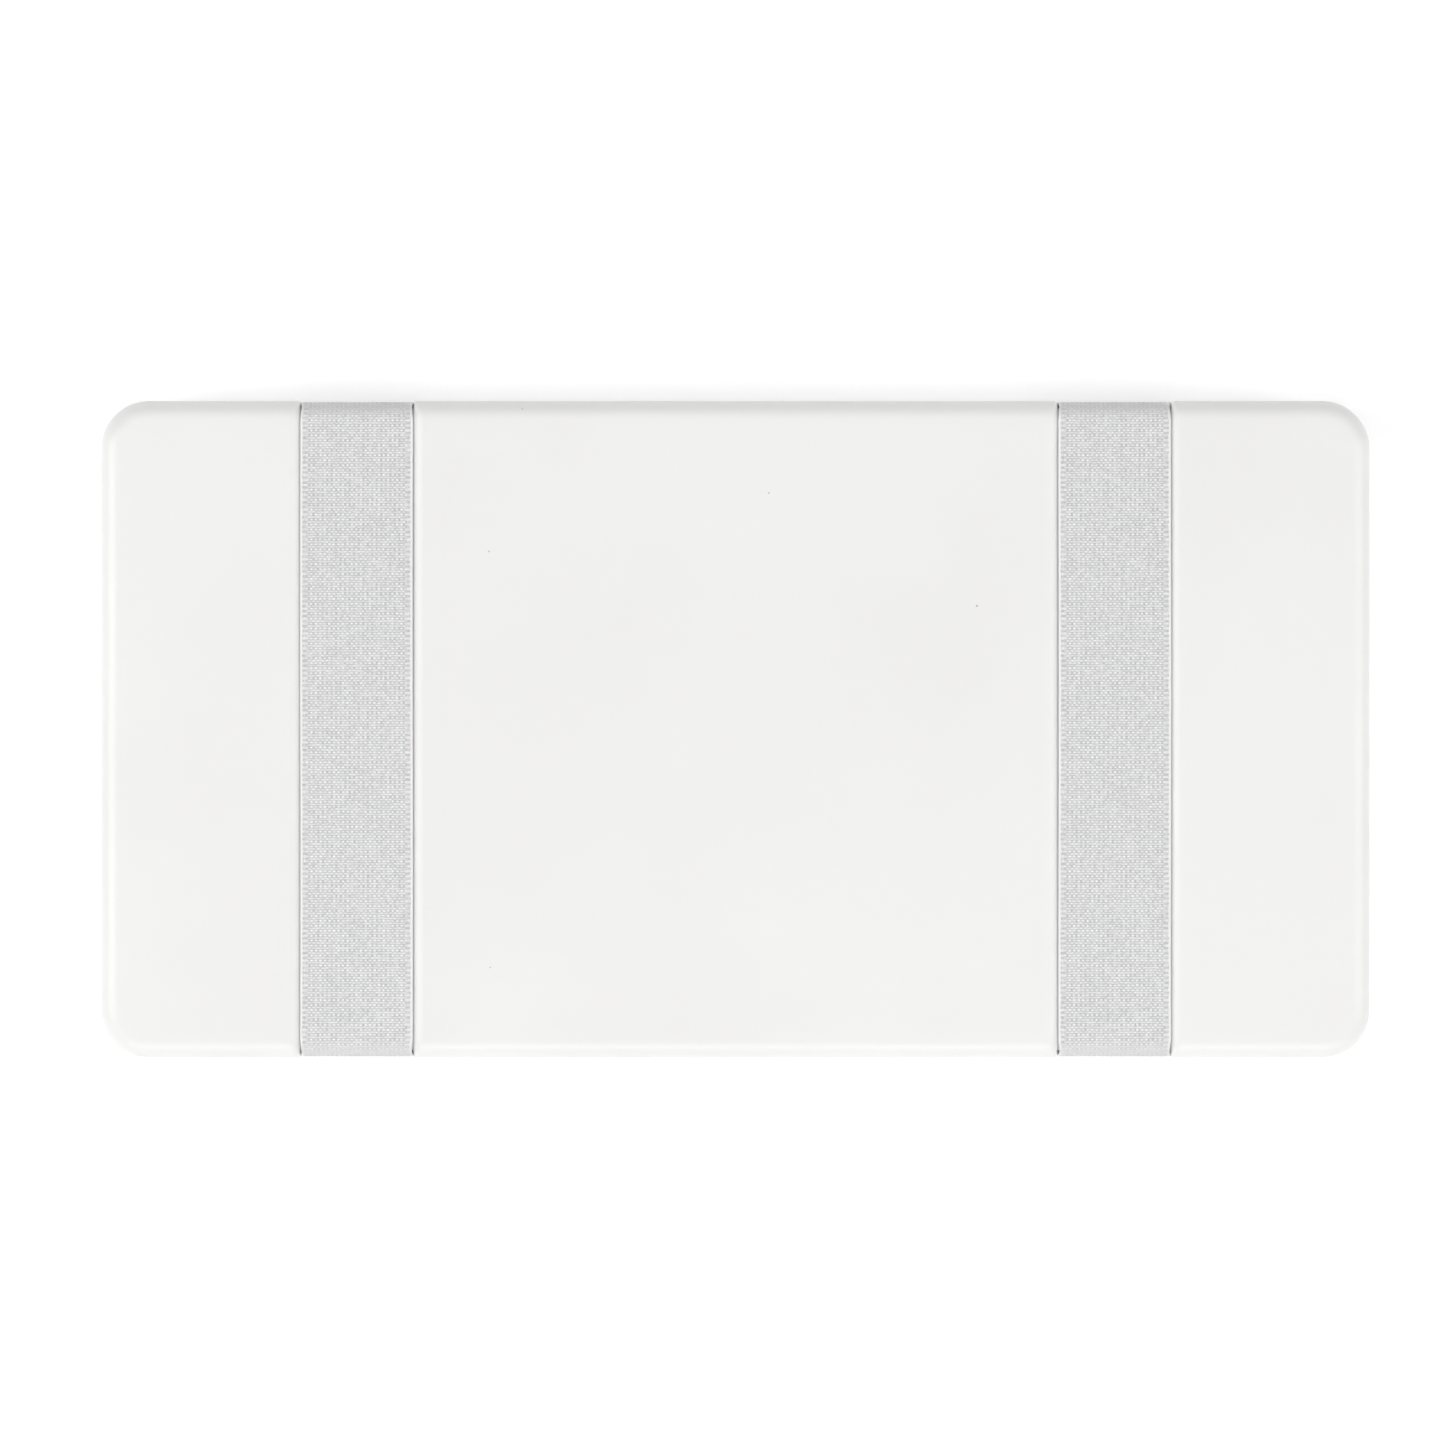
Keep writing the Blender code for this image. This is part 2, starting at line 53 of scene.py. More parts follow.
# Places that come from the frame
lid_low, lid_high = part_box("lid_shell")
base_low, base_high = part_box("base_shell")
tray_low, tray_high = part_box("palette_tray")
seal_low, seal_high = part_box("lid_seal")
foam_low, foam_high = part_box("hydration_foam")
sheet_low, sheet_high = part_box("hydration_sheet")
pack_low, pack_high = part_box("spare_sheet_pack")
band_low, band_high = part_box("elastic_band_right")

HALF_LENGTH = lid_high.x
HALF_WIDTH = lid_high.y
CASE_TOP = lid_high.z
CASE_BOTTOM = base_low.z
LID_RIM = lid_low.z
TONGUE_TOP = base_high.z
BAND_OFFSET = (band_low.x + band_high.x) / 2
BAND_WIDTH = band_high.x - band_low.x
BAND_RECESS = HALF_WIDTH - band_high.y

# Sizes of the moulded shells, as in the CAD; those ending in OUT or IN are insets from the case's outside
CORNER = 10.6 * MM
EDGE = 4.2 * MM
WALL = 2.6 * MM
GAP = 0.3 * MM
TONGUE_OUT = 3.0 * MM
TONGUE_IN = 4.6 * MM
RIB_OUT = 5.0 * MM
RIB_IN = 6.2 * MM
SHELF_IN = 6.4 * MM
RIB_BOTTOM = 20.8 * MM
SHELF_TOP = 18.9 * MM
SHELF_THICKNESS = 1.6 * MM
CHANNEL_CHAMFER = 1.2 * MM
RIM_ROUND = 0.3 * MM
INNER_FILLET = 2.0 * MM
FACE_INSET = 8.0 * MM              # where the swept skin ends and the flat face's grid begins
SKIN_INSET = 6.0 * MM              # a point on the flat face just outside that
BAND_THICKNESS = 1.0 * MM
BASE_RIM = LID_RIM - GAP
CEILING = CASE_TOP - WALL
FLOOR_TOP = CASE_BOTTOM + WALL

# The troughs: half the width of the floor, then the shoulders beside it on the flat faces and on the walls.
# The floor can be a little narrower than the band, because the band's edges tuck in underneath.
TROUGH_DEPTH = BAND_RECESS + BAND_THICKNESS + GAP
TROUGH_HALF = BAND_WIDTH / 2 - 0.05 * MM
SHOULDER_WIDTH = 2.55 * MM
WALL_SHOULDER = 0.6 * MM

# The sewn lap on the underside of each band
LAP_CENTRE = 20.0 * MM
LAP_LENGTH = 18.0 * MM
LAP_RAMP = 2.0 * MM

# The knit of the elastic
WALE_PITCH = 1.0 * MM
ROW_PITCH = 1.1 * MM
RELIEF = 0.12 * MM
SELVEDGE = 0.5 * MM

# The selvedge is a smooth roll: points across it from the edge, how high it stands there from 0 to 1, and
# how far its foot tucks in.
SELVEDGE_ACROSS = np.array([0.0, 0.12, 0.35, 0.6, 0.85]) * SELVEDGE
SELVEDGE_HEIGHT = np.sqrt(np.clip(1 - (1 - SELVEDGE_ACROSS / SELVEDGE * 1.6) ** 2, 0, 1))
SELVEDGE_TUCK = 0.35 * BAND_THICKNESS

# The bands have slid this far over towards one side of their troughs, and sway this much along them.
LEAN = 0.03 * MM
SWAY = 0.04 * MM


# Meshes ------------------------------------------------------------------------------------------


def add_mesh(name, vertices, faces, sharp=35.0):
    """A smooth-shaded object whose edges above the sharp angle stay crisp."""
    mesh = bpy.data.meshes.new(name)
    mesh.from_pydata([tuple(v) for v in vertices], [], [tuple(f) for f in faces])
    shape = bmesh.new()
    shape.from_mesh(mesh)
    bmesh.ops.recalc_face_normals(shape, faces=shape.faces)
    shape.to_mesh(mesh)
    shape.free()
    mesh.shade_smooth()
    mesh.set_sharp_from_angle(angle=math.radians(sharp))
    item = bpy.data.objects.new(name, mesh)
    bpy.context.scene.collection.objects.link(item)
    return item


def finish_piece(item, material, body, node):
    """Give a piece its material, and put it in place of its CAD node."""
    item.data.materials.append(material)
    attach(item, body)
    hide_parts(node)
    return item


def trough_depth(x, turn):
    """How deep the troughs are at each x: a shoulder that steepens down to a flat floor.

    The shoulders are widest on the flat faces, where turn is 90 degrees, and tightest on the walls.
    """
    width = WALL_SHOULDER + (SHOULDER_WIDTH - WALL_SHOULDER) * abs(math.sin(math.radians(turn))) ** 3
    from_floor = np.abs(np.abs(x) - BAND_OFFSET) - TROUGH_HALF
    share = np.clip(1 - from_floor / width, 0, 1)
    return TROUGH_DEPTH * (0.75 * share**2 + 0.25 * (1 - np.sqrt(1 - share**2)))


def long_stations(with_troughs):
    """Places along X where the mesh has a vertex, closer together on the troughs' shoulders."""
    end = HALF_LENGTH - CORNER
    stations = list(np.linspace(-end, end, 49))
    if with_troughs:
        for side in (-1, 1):
            for edge in (-1, 1):
                across = TROUGH_HALF + SHOULDER_WIDTH * np.linspace(0, 1, 15) ** 1.5
                stations += list(side * BAND_OFFSET + edge * across)
                stations.append(side * BAND_OFFSET + edge * (TROUGH_HALF + SHOULDER_WIDTH + 0.4 * MM))
    return np.unique(np.round(stations, 6))


def short_stations(spacing=2.5 * MM):
    """Places along Y where the mesh has a vertex."""
    end = HALF_WIDTH - CORNER
    return np.linspace(-end, end, 2 * round(end / spacing) + 1)


def plan_samples(xs, ys, steps=12):
    """Samples round the case, as x, y, the outward direction, and the column and row of the inner grid."""
    right, back = xs[-1], ys[-1]
    last_x, last_y = len(xs) - 1, len(ys) - 1
    samples = []

    def corner(x, y, quarter, column, row):
        for step in range(1, steps):
            angle = math.pi / 2 * (quarter + step / steps)
            samples.append((x, y, math.cos(angle), math.sin(angle), column, row))

    samples += [(right, ys[j], 1, 0, last_x, j) for j in range(last_y + 1)]
    corner(right, back, 0, last_x, last_y)
    samples += [(xs[i], back, 0, 1, i, last_y) for i in range(last_x, -1, -1)]
    corner(-right, back, 1, 0, last_y)
    samples += [(-right, ys[j], -1, 0, 0, j) for j in range(last_y, -1, -1)]
    corner(-right, -back, 2, 0, 0)
    samples += [(xs[i], -back, 0, -1, i, 0) for i in range(last_x + 1)]
    corner(right, -back, 3, last_x, 0)
    return np.array(samples)


def profile_ring(plan, point, with_troughs, rise):
    """The vertices of one profile point, all the way round the plan."""
    inset, z, turn, lift = point
    out = CORNER - inset
    x = plan[:, 0] + plan[:, 2] * out
    y = plan[:, 1] + plan[:, 3] * out
    height = np.full(len(plan), z)
    if with_troughs and turn is not None:
        depth = trough_depth(x, turn) * (np.abs(plan[:, 3]) > 0.5)
        y = y - depth * plan[:, 3] * math.cos(math.radians(turn))
        height = height - depth * math.sin(math.radians(turn))
    if lift:
        height = height + lift * rise(y) * (np.abs(plan[:, 2]) > 0.5)
    return np.column_stack([x, y, height])


def face_grid(xs, ys, point, with_troughs, wobble):
    """The vertices of a flat face inside the rings, one row after another."""
    _, z, turn, _ = point
    x, y = np.meshgrid(xs, ys, indexing="ij")
    height = np.full(x.shape, z)
    if with_troughs and turn is not None:
        height = height - trough_depth(x, turn) * math.sin(math.radians(turn))
    if wobble is not None:
        height = height + wobble(x, y)
    return np.column_stack([x.ravel(), y.ravel(), height.ravel()])


def face_grid_faces(start, ring_start, plan, columns, rows):
    """The faces of a grid that starts at one vertex, and the strip that joins it to its ring."""
    faces = []
    for i in range(columns - 1):
        for j in range(rows - 1):
            a = start + i * rows + j
            faces.append((a, a + rows, a + rows + 1, a + 1))
    count = len(plan)
    inner = start + plan[:, 4].astype(int) * rows + plan[:, 5].astype(int)
    for i in range(count):
        after = (i + 1) % count
        corners = [ring_start + i, ring_start + after, inner[after], inner[i]]
        faces.append(corners if inner[i] != inner[after] else corners[:3])
    return faces


def round_shell(name, profile, with_troughs=False, closed=False, rise=None, wobble=None):
    """A solid swept round the case's outline, closed on itself or by a flat face at each end.

    profile is a list of (inset, z, turn, lift). turn is the angle of the outer skin's normal above level, or
    None off the skin: the troughs push the skin in along it. lift is how much of rise(y) a point takes.
    """
    xs, ys = long_stations(with_troughs), short_stations()
    plan = plan_samples(xs, ys)
    count = len(plan)
    last = len(profile) - 1
    vertices = np.vstack([profile_ring(plan, point, with_troughs, rise) for point in profile])
    faces = []
    ring_pairs = [(k, k + 1) for k in range(last)]
    if closed:
        ring_pairs.append((last, 0))
    for first, second in ring_pairs:
        a, b = first * count, second * count
        for i in range(count):
            after = (i + 1) % count
            faces.append((a + i, a + after, b + after, b + i))
    if not closed:
        for ring in (0, last):
            start = len(vertices)
            vertices = np.vstack([vertices, face_grid(xs, ys, profile[ring], with_troughs, wobble)])
            faces += face_grid_faces(start, ring * count, plan, len(xs), len(ys))
    return add_mesh(name, vertices, faces)


def skin_arc(inset, z, radius, start, end, steps):
    """Profile points on the outer skin along an arc; the angle is also the skin's turn."""
    points = []
    for step in range(steps + 1):
        angle = start + (end - start) * step / steps
        across = math.cos(math.radians(angle))
        points.append((inset - radius * across, z + radius * math.sin(math.radians(angle)), angle, 0))
    return points


def plain_arc(inset, z, radius, start, end, steps):
    """Profile points off the skin along an arc; 0 degrees points inwards and 90 points up."""
    points = []
    for step in range(steps + 1):
        angle = math.radians(start + (end - start) * step / steps)
        points.append((inset + radius * math.cos(angle), z + radius * math.sin(angle), None, 0))
    return points


def plain(*points):
    """Profile points off the skin."""
    return [(inset, z, None, 0) for inset, z in points]


# Materials ---------------------------------------------------------------------------------------


class Nodes:
    """A short way to write a material's node tree."""

    def __init__(self, name, colour, roughness, **sockets):
        self.material = bpy.data.materials.new(name)
        self.material.use_nodes = True
        self.tree = self.material.node_tree
        self.shader = self.tree.nodes["Principled BSDF"]
        self.shader.inputs["Base Color"].default_value = (*colour, 1)
        self.shader.inputs["Roughness"].default_value = roughness
        for socket, value in sockets.items():
            self.shader.inputs[socket.replace("_", " ")].default_value = value

    def add(self, kind, links=(), **settings):
        """A node with its settings; a name with a leading underscore is an input's value."""
        node = self.tree.nodes.new("ShaderNode" + kind)
        for key, value in settings.items():
            if key.startswith("_"):
                socket = key[1:]
                node.inputs[int(socket) if socket.isdigit() else socket].default_value = value
            else:
                setattr(node, key, value)
        for socket, source in links:
            self.tree.links.new(source, node.inputs[socket])
        return node

    def link(self, source, socket):
        """Feed one of the shader's sockets."""
        self.tree.links.new(source, self.shader.inputs[socket])

    def position(self):
        """The place on the object, in metres."""
        return self.add("TexCoord").outputs["Object"]

    def noise(self, vector, scale, detail=2.0, roughness=0.5):
        """Cloudy noise from 0 to 1 with scale cells to a unit."""
        node = self.add("TexNoise", [("Vector", vector)], _Scale=scale, _Detail=detail, _Roughness=roughness)
        return node.outputs["Fac"]

    def ramp(self, value, low, high, to_low, to_high, smooth=False):
        """A value brought from the range low to high to the range to_low to to_high, and held there."""
        kind = "SMOOTHSTEP" if smooth else "LINEAR"
        node = self.add("MapRange", [("Value", value)], interpolation_type=kind)
        ends = {"From Min": low, "From Max": high, "To Min": to_low, "To Max": to_high}
        for socket, number in ends.items():
            node.inputs[socket].default_value = number
        return node.outputs["Result"]

    def maths(self, operation, first, second=None):
        """One sum on sockets or numbers."""
        node = self.add("Math", operation=operation)
        for index, value in enumerate((first, second)):
            if value is None:
                continue
            if isinstance(value, (int, float)):
                node.inputs[index].default_value = value
            else:
                self.tree.links.new(value, node.inputs[index])
        return node.outputs["Value"]

    def blend(self, factor, first, second):
        """A colour that goes from first to second with factor."""
        node = self.add("Mix", data_type="RGBA")
        self.tree.links.new(factor, node.inputs["Factor"])
        for socket, colour in (("A", first), ("B", second)):
            target = [s for s in node.inputs if s.name == socket and s.type == "RGBA"][0]
            if isinstance(colour, tuple):
                target.default_value = (*colour, 1)
            else:
                self.tree.links.new(colour, target)
        return [s for s in node.outputs if s.type == "RGBA"][0]

    def bump(self, height, strength, distance, under=None):
        """A surface normal disturbed by height, on top of another one."""
        node = self.add("Bump", [("Height", height)], _Strength=strength, _Distance=distance)
        if under is not None:
            self.tree.links.new(under, node.inputs["Normal"])
        return node.outputs["Normal"]


def moulded_white(name, colour, specks):
    """Glossy injection-moulded plastic: faint tone drift, orange peel, soft scuffs and a few specks."""
    nodes = Nodes(name, colour, 0.3, Specular_IOR_Level=0.45)
    place = nodes.position()
    drift = nodes.ramp(nodes.noise(place, 14, 3), 0.35, 0.65, 0.0, 1.0, True)
    darker = tuple(c * f for c, f in zip(colour, (0.978, 0.977, 0.978)))
    tone = nodes.blend(drift, darker, colour)
    if specks:
        cells = nodes.add("TexVoronoi", [("Vector", place)], feature="F1", _Scale=130, _Randomness=1.0)
        size = nodes.add("SeparateColor", [("Color", cells.outputs["Color"])])
        radius = nodes.ramp(size.outputs["Red"], 0.6, 1.0, 0.0, 0.045)
        ragged = nodes.maths("MULTIPLY", nodes.noise(place, 2600, 1), 0.022)
        edge = nodes.maths("SUBTRACT", nodes.maths("ADD", cells.outputs["Distance"], ragged), radius)
        mark = nodes.ramp(edge, -0.006, 0.012, 0.75, 0.0, True)
        tone = nodes.blend(mark, tone, (0.42, 0.40, 0.38))
    nodes.link(tone, "Base Color")
    handled = nodes.noise(place, 38, 4, 0.55)
    nodes.link(nodes.ramp(handled, 0.3, 0.7, 0.285, 0.34), "Roughness")
    peel = nodes.noise(place, 420, 2)
    grain = nodes.noise(place, 2600, 2)
    nodes.link(nodes.bump(grain, 0.1, 0.00002, nodes.bump(peel, 0.12, 0.00004)), "Normal")
    return nodes.material


def strap_axes(nodes):
    """The band's own map of wales and rows, and the same map with its lines wandering a little."""
    strap = nodes.add("UVMap", uv_map="strap").outputs["UV"]
    cloud = nodes.add("TexNoise", [("Vector", strap)], _Scale=0.9, _Detail=2.0).outputs["Color"]
    centred = nodes.add("VectorMath", [(0, cloud)], operation="SUBTRACT", _1=(0.5, 0.5, 0.5))
    wander = nodes.add("VectorMath", [(0, centred.outputs["Vector"])], operation="SCALE", _Scale=0.35)
    place = nodes.add("VectorMath", [(0, strap), (1, wander.outputs["Vector"])], operation="ADD")
    return strap, place.outputs["Vector"]


def uneven_yarn(nodes, strap, place):
    """How much each half loop differs from the next, with the yarn's fibres over it."""
    halves = nodes.add("VectorMath", [(0, place)], operation="MULTIPLY_ADD", _1=(2, 2, 0), _2=(0.5, 0.5, 0))
    cell = nodes.add("VectorMath", [(0, halves.outputs["Vector"])], operation="FLOOR").outputs["Vector"]
    own = nodes.add("TexWhiteNoise", [("Vector", cell)], noise_dimensions="2D").outputs["Value"]
    uneven = nodes.maths("MULTIPLY", nodes.maths("SUBTRACT", own, 0.5), 0.5)
    stretched = nodes.add("Mapping", [("Vector", strap)], _Scale=(1, 1.5, 1)).outputs["Vector"]
    yarn = nodes.noise(stretched, 4.2, 2)
    fibres = nodes.maths("MULTIPLY", nodes.maths("SUBTRACT", yarn, 0.5), 1.5)
    return nodes.maths("ADD", uneven, fibres)


def knit_tone_with_painted_shade(nodes):
    """The knit's tone: rows, checks and wales painted light on the loops' tops and dark in the valleys
    between them as painted highlight and painted shade, over the yarn's own unevenness; a ladder by each
    edge painted the same way; the rolled selvedges painted lighter as a painted highlight; and the bends
    evened out and painted a little darker as painted shade.
    """
    strap, place = strap_axes(nodes)
    axes = nodes.add("SeparateXYZ", [("Vector", place)])

    def wave(axis, turns):
        return nodes.maths("COSINE", nodes.maths("MULTIPLY", axes.outputs[axis], 2 * math.pi * turns))

    across, along = wave("X", 1), wave("Y", 1)
    # The rows, checks and wales light the loops' tops and darken the valleys between them: painted highlight
    # and painted shade laid over the knit's relief.
    rows = nodes.maths("MULTIPLY", wave("Y", 2), 0.38)
    checks = nodes.maths("MULTIPLY", nodes.maths("MULTIPLY", across, along), 0.42)
    wales = nodes.maths("MULTIPLY", across, 0.16)
    painted_loop_shade = nodes.maths("ADD", nodes.maths("ADD", rows, checks), wales)
    uneven = uneven_yarn(nodes, strap, place)
    knit = nodes.maths("ADD", painted_loop_shade, uneven)
    # The rungs by each edge are painted the same way, light on each rung and dark between: painted highlight
    # and painted shade.
    rungs = nodes.maths("ADD", nodes.maths("MULTIPLY", along, 0.34), uneven)

    from_middle = nodes.maths("ABSOLUTE", axes.outputs["X"])
    from_edge = nodes.maths("SUBTRACT", BAND_WIDTH / 2 / WALE_PITCH, from_middle)
    selvedge = SELVEDGE / WALE_PITCH
    ladder = nodes.ramp(from_edge, selvedge + 1.0, selvedge + 1.4, 1.0, 0.0)
    level = nodes.add("Mix", [("Factor", ladder), ("A", knit), ("B", rungs)]).outputs["Result"]
    # The rolled selvedges are set to an even, lighter tone: a painted highlight along the band's edges.
    roll = nodes.ramp(from_edge, selvedge - 0.1, selvedge + 0.15, 1.0, 0.0)
    level = nodes.add("Mix", [("Factor", roll), ("A", level)], _B=0.75).outputs["Result"]
    # Where the band bends over the case's edges its tone is evened out and set a little darker: painted
    # shade on the turns, with the flattened knit's weaker pattern.
    flat = nodes.maths("MULTIPLY", nodes.add("Attribute", attribute_name="bend").outputs["Fac"], 0.7)
    return nodes.add("Mix", [("Factor", flat), ("A", level)], _B=-0.15).outputs["Result"]


def knitted_elastic():
    """Pale grey elastic, coloured loop by loop along its strap map with painted highlight on the loops' tops
    and selvedges and painted shade between the loops and on the bends, with yarn bump and a soft fuzz.
    """
    nodes = Nodes("knitted_elastic", (0.68, 0.68, 0.68), 0.85, Specular_IOR_Level=0.2, Sheen_Weight=0.3)
    nodes.shader.inputs["Sheen Roughness"].default_value = 0.5
    tone = nodes.ramp(knit_tone_with_painted_shade(nodes), -0.95, 1.05, 0.0, 1.0)
    # The tone runs from a painted dark grey for the shade between the loops to white for the painted
    # highlights on them.
    nodes.link(nodes.blend(tone, (0.43, 0.43, 0.43), (1.0, 1.0, 1.0)), "Base Color")
    nodes.link(nodes.bump(tone, 0.5, 0.00010), "Normal")
    return nodes.material


def sewing_thread():
    """Pale twisted polyester thread, painted darker in the grooves of its twist as painted shade."""
    nodes = Nodes("sewing_thread", (0.78, 0.78, 0.79), 0.6, Sheen_Weight=0.3)
    place = nodes.position()
    turned = nodes.add("Mapping", [("Vector", place)], _Rotation=(0, 0, 0.6)).outputs["Vector"]
    twist_and_groove_shade = nodes.add("TexWave", [("Vector", turned)], _Scale=900, _Distortion=1.5, _Detail=1.0)
    # The twist's grooves are painted darker and its ridges lighter: painted shade and painted highlight
    # along the thread.
    nodes.link(nodes.blend(twist_and_groove_shade.outputs["Fac"], (0.62, 0.62, 0.64), (0.86, 0.86, 0.86)), "Base Color")
    nodes.link(nodes.bump(twist_and_groove_shade.outputs["Fac"], 0.6, 0.00008), "Normal")
    return nodes.material


def open_foam():
    """Fine open-cell foam, its pores painted darker as painted shade."""
    nodes = Nodes("open_cell_foam", (0.89, 0.83, 0.62), 0.95, Specular_IOR_Level=0.1)
    place = nodes.position()
    cells = nodes.add("TexVoronoi", [("Vector", place)], feature="F1", _Scale=1100, _Randomness=1.0)
    holes = nodes.ramp(cells.outputs["Distance"], 0.2, 0.7, 0.0, 1.0, True)
    coarse = nodes.ramp(nodes.noise(place, 45, 3), 0.35, 0.7, 0.0, 0.5)
    # The pores are painted a darker, browner tone: painted shade in the foam's holes.
    walls = nodes.blend(holes, (0.91, 0.86, 0.66), (0.72, 0.65, 0.43))
    nodes.link(nodes.blend(coarse, walls, (0.86, 0.80, 0.58)), "Base Color")
    nodes.link(nodes.bump(nodes.maths("SUBTRACT", 1.0, holes), 0.5, 0.00015), "Normal")
    return nodes.material


def fibre_paper(name, colour):
    """Matte membrane paper with a faint fibre cloud and tooth."""
    nodes = Nodes(name, colour, 0.8, Specular_IOR_Level=0.25)
    place = nodes.position()
    stretched = nodes.add("Mapping", [("Vector", place)], _Scale=(1, 2.5, 1)).outputs["Vector"]
    cloud = nodes.noise(stretched, 130, 5, 0.65)
    darker = tuple(c * 0.94 for c in colour)
    nodes.link(nodes.blend(nodes.ramp(cloud, 0.3, 0.7, 0.0, 1.0), darker, colour), "Base Color")
    nodes.link(nodes.bump(nodes.noise(stretched, 1900, 3), 0.35, 0.00006), "Normal")
    return nodes.material


def soft_rubber(name, colour, roughness):
    """Moulded rubber or silicone with a dusty, uneven sheen."""
    nodes = Nodes(name, colour, roughness, Specular_IOR_Level=0.35)
    place = nodes.position()
    dust = nodes.ramp(nodes.noise(place, 160, 5, 0.65), 0.35, 0.75, 0.0, 0.4)
    lighter = tuple(min(1.0, c * 1.25 + 0.03) for c in colour)
    nodes.link(nodes.blend(dust, colour, lighter), "Base Color")
    uneven = nodes.ramp(nodes.noise(place, 300, 3), 0.3, 0.7, roughness - 0.08, roughness + 0.1)
    nodes.link(uneven, "Roughness")
    nodes.link(nodes.bump(nodes.noise(place, 1800, 2), 0.3, 0.00005), "Normal")
    return nodes.material


# Shells ------------------------------------------------------------------------------------------


def lid_shell():
    """The lid: its top, rounded edge, wall, seal channel, rib and ceiling."""
    profile = [
        (FACE_INSET, CASE_TOP, 90, 0),
        (SKIN_INSET, CASE_TOP, 90, 0),
        *skin_arc(EDGE, CASE_TOP - EDGE, EDGE, 90, 0, 12),
        (0.0, (CASE_TOP - EDGE + LID_RIM) / 2, 0, 0),
        *skin_arc(RIM_ROUND, LID_RIM + RIM_ROUND, RIM_ROUND, 0, -80, 4),
        *plain(
            (WALL - RIM_ROUND, LID_RIM),
            (WALL, LID_RIM + RIM_ROUND),
            (WALL, CEILING - CHANNEL_CHAMFER),
            (WALL + CHANNEL_CHAMFER, CEILING),
            (RIB_OUT, CEILING),
            (RIB_OUT, RIB_BOTTOM + RIM_ROUND),
            (RIB_OUT + RIM_ROUND, RIB_BOTTOM),
            (RIB_IN - RIM_ROUND, RIB_BOTTOM),
            (RIB_IN, RIB_BOTTOM + RIM_ROUND),
            (RIB_IN, CEILING - RIM_ROUND),
            (RIB_IN + RIM_ROUND, CEILING),
            (FACE_INSET, CEILING),
        ),
    ]
    # The rim's underside is level, so the troughs move it sideways only.
    profile = [(i, z, 0 if t is not None and t < 0 else t, lift) for i, z, t, lift in profile]
    return round_shell("lid_shell_moulding", profile, with_troughs=True)


def base_shell():
    """The base: its underside, rounded edge, wall, rim, tongue, ledge and floor."""
    drop = SHELF_IN - WALL
    # The rim's top is level, so the troughs move it sideways only.
    rim_arc = skin_arc(RIM_ROUND, BASE_RIM - RIM_ROUND, RIM_ROUND, 0, 80, 4)
    rim = [(i, z, 0, lift) for i, z, _, lift in rim_arc]
    profile = [
        (FACE_INSET, CASE_BOTTOM, -90, 0),
        (SKIN_INSET, CASE_BOTTOM, -90, 0),
        *skin_arc(EDGE, CASE_BOTTOM + EDGE, EDGE, -90, 0, 12),
        (0.0, (CASE_BOTTOM + EDGE + BASE_RIM) / 2, 0, 0),
        *rim,
        *plain(
            (TONGUE_OUT, BASE_RIM),
            (TONGUE_OUT, TONGUE_TOP - RIM_ROUND),
            (TONGUE_OUT + RIM_ROUND, TONGUE_TOP),
            (TONGUE_IN - RIM_ROUND, TONGUE_TOP),
            (TONGUE_IN, TONGUE_TOP - RIM_ROUND),
            (TONGUE_IN, SHELF_TOP),
            (SHELF_IN - RIM_ROUND, SHELF_TOP),
            (SHELF_IN, SHELF_TOP - RIM_ROUND),
            (SHELF_IN, SHELF_TOP - SHELF_THICKNESS),
            (WALL, SHELF_TOP - SHELF_THICKNESS - drop),
        ),
        *plain_arc(WALL + INNER_FILLET, FLOOR_TOP + INNER_FILLET, INNER_FILLET, 180, 270, 6),
        *plain((FACE_INSET, FLOOR_TOP)),
    ]
    return round_shell("base_shell_moulding", profile, with_troughs=True)


# Elastic bands -----------------------------------------------------------------------------------


def loop_places(count):
    """count places round the case's section, evenly spaced, as y, z and the outward direction."""
    radius = EDGE - BAND_RECESS
    half = HALF_WIDTH - BAND_RECESS - radius
    low = CASE_BOTTOM + BAND_RECESS + radius
    high = CASE_TOP - BAND_RECESS - radius
    quarter = math.pi / 2 * radius
    corners = ((half, high), (-half, high), (-half, low), (half, low))
    runs = (2 * half, high - low, 2 * half, high - low)
    total = 4 * quarter + sum(runs)
    places = []
    for k in range(count):
        at = total * k / count
        for corner in range(4):
            y, z = corners[corner]
            if at <= quarter:
                angle = math.pi / 2 * corner + at / radius
                places.append((y + radius * math.cos(angle), z + radius * math.sin(angle), angle))
                break
            at -= quarter
            angle = math.pi / 2 * (corner + 1)
            if at <= runs[corner]:
                along = (-math.sin(angle), math.cos(angle))
                places.append((
                    y + radius * math.cos(angle) + at * along[0],
                    z + radius * math.sin(angle) + at * along[1],
                    angle,
                ))
                break
            at -= runs[corner]
    places = np.array(places)
    return places[:, 0], places[:, 1], np.cos(places[:, 2]), np.sin(places[:, 2]), total


def lap_share(y, nz):
    """From 0 to 1, how far the band's outer layer stands off where its ends overlap."""
    start, end = LAP_CENTRE - LAP_LENGTH / 2, LAP_CENTRE + LAP_LENGTH / 2
    share = np.clip((y - start + LAP_RAMP) / LAP_RAMP, 0, 1) * (y < end + GAP)
    return share * (nz < -0.99)


def knit_heights(rows, wales, random):
    """Heights of the knit, two columns to a wale: big and small loops in turn, with valleys between."""
    row = np.arange(rows)[:, None] % 4
    column = np.arange(2 * wales + 1)[None, :] % 2
    big = (row == 0) & (column == 0)
    small = (row == 2) & (column == 1)
    plain_loop = ((row == 0) & (column == 1)) | ((row == 2) & (column == 0))
    height = 1.0 * big + 0.9 * small + 0.55 * plain_loop
    uneven = random.uniform(0.7, 1.0, (rows, 2 * wales + 1))
    return 0.05 + 0.95 * height * uneven


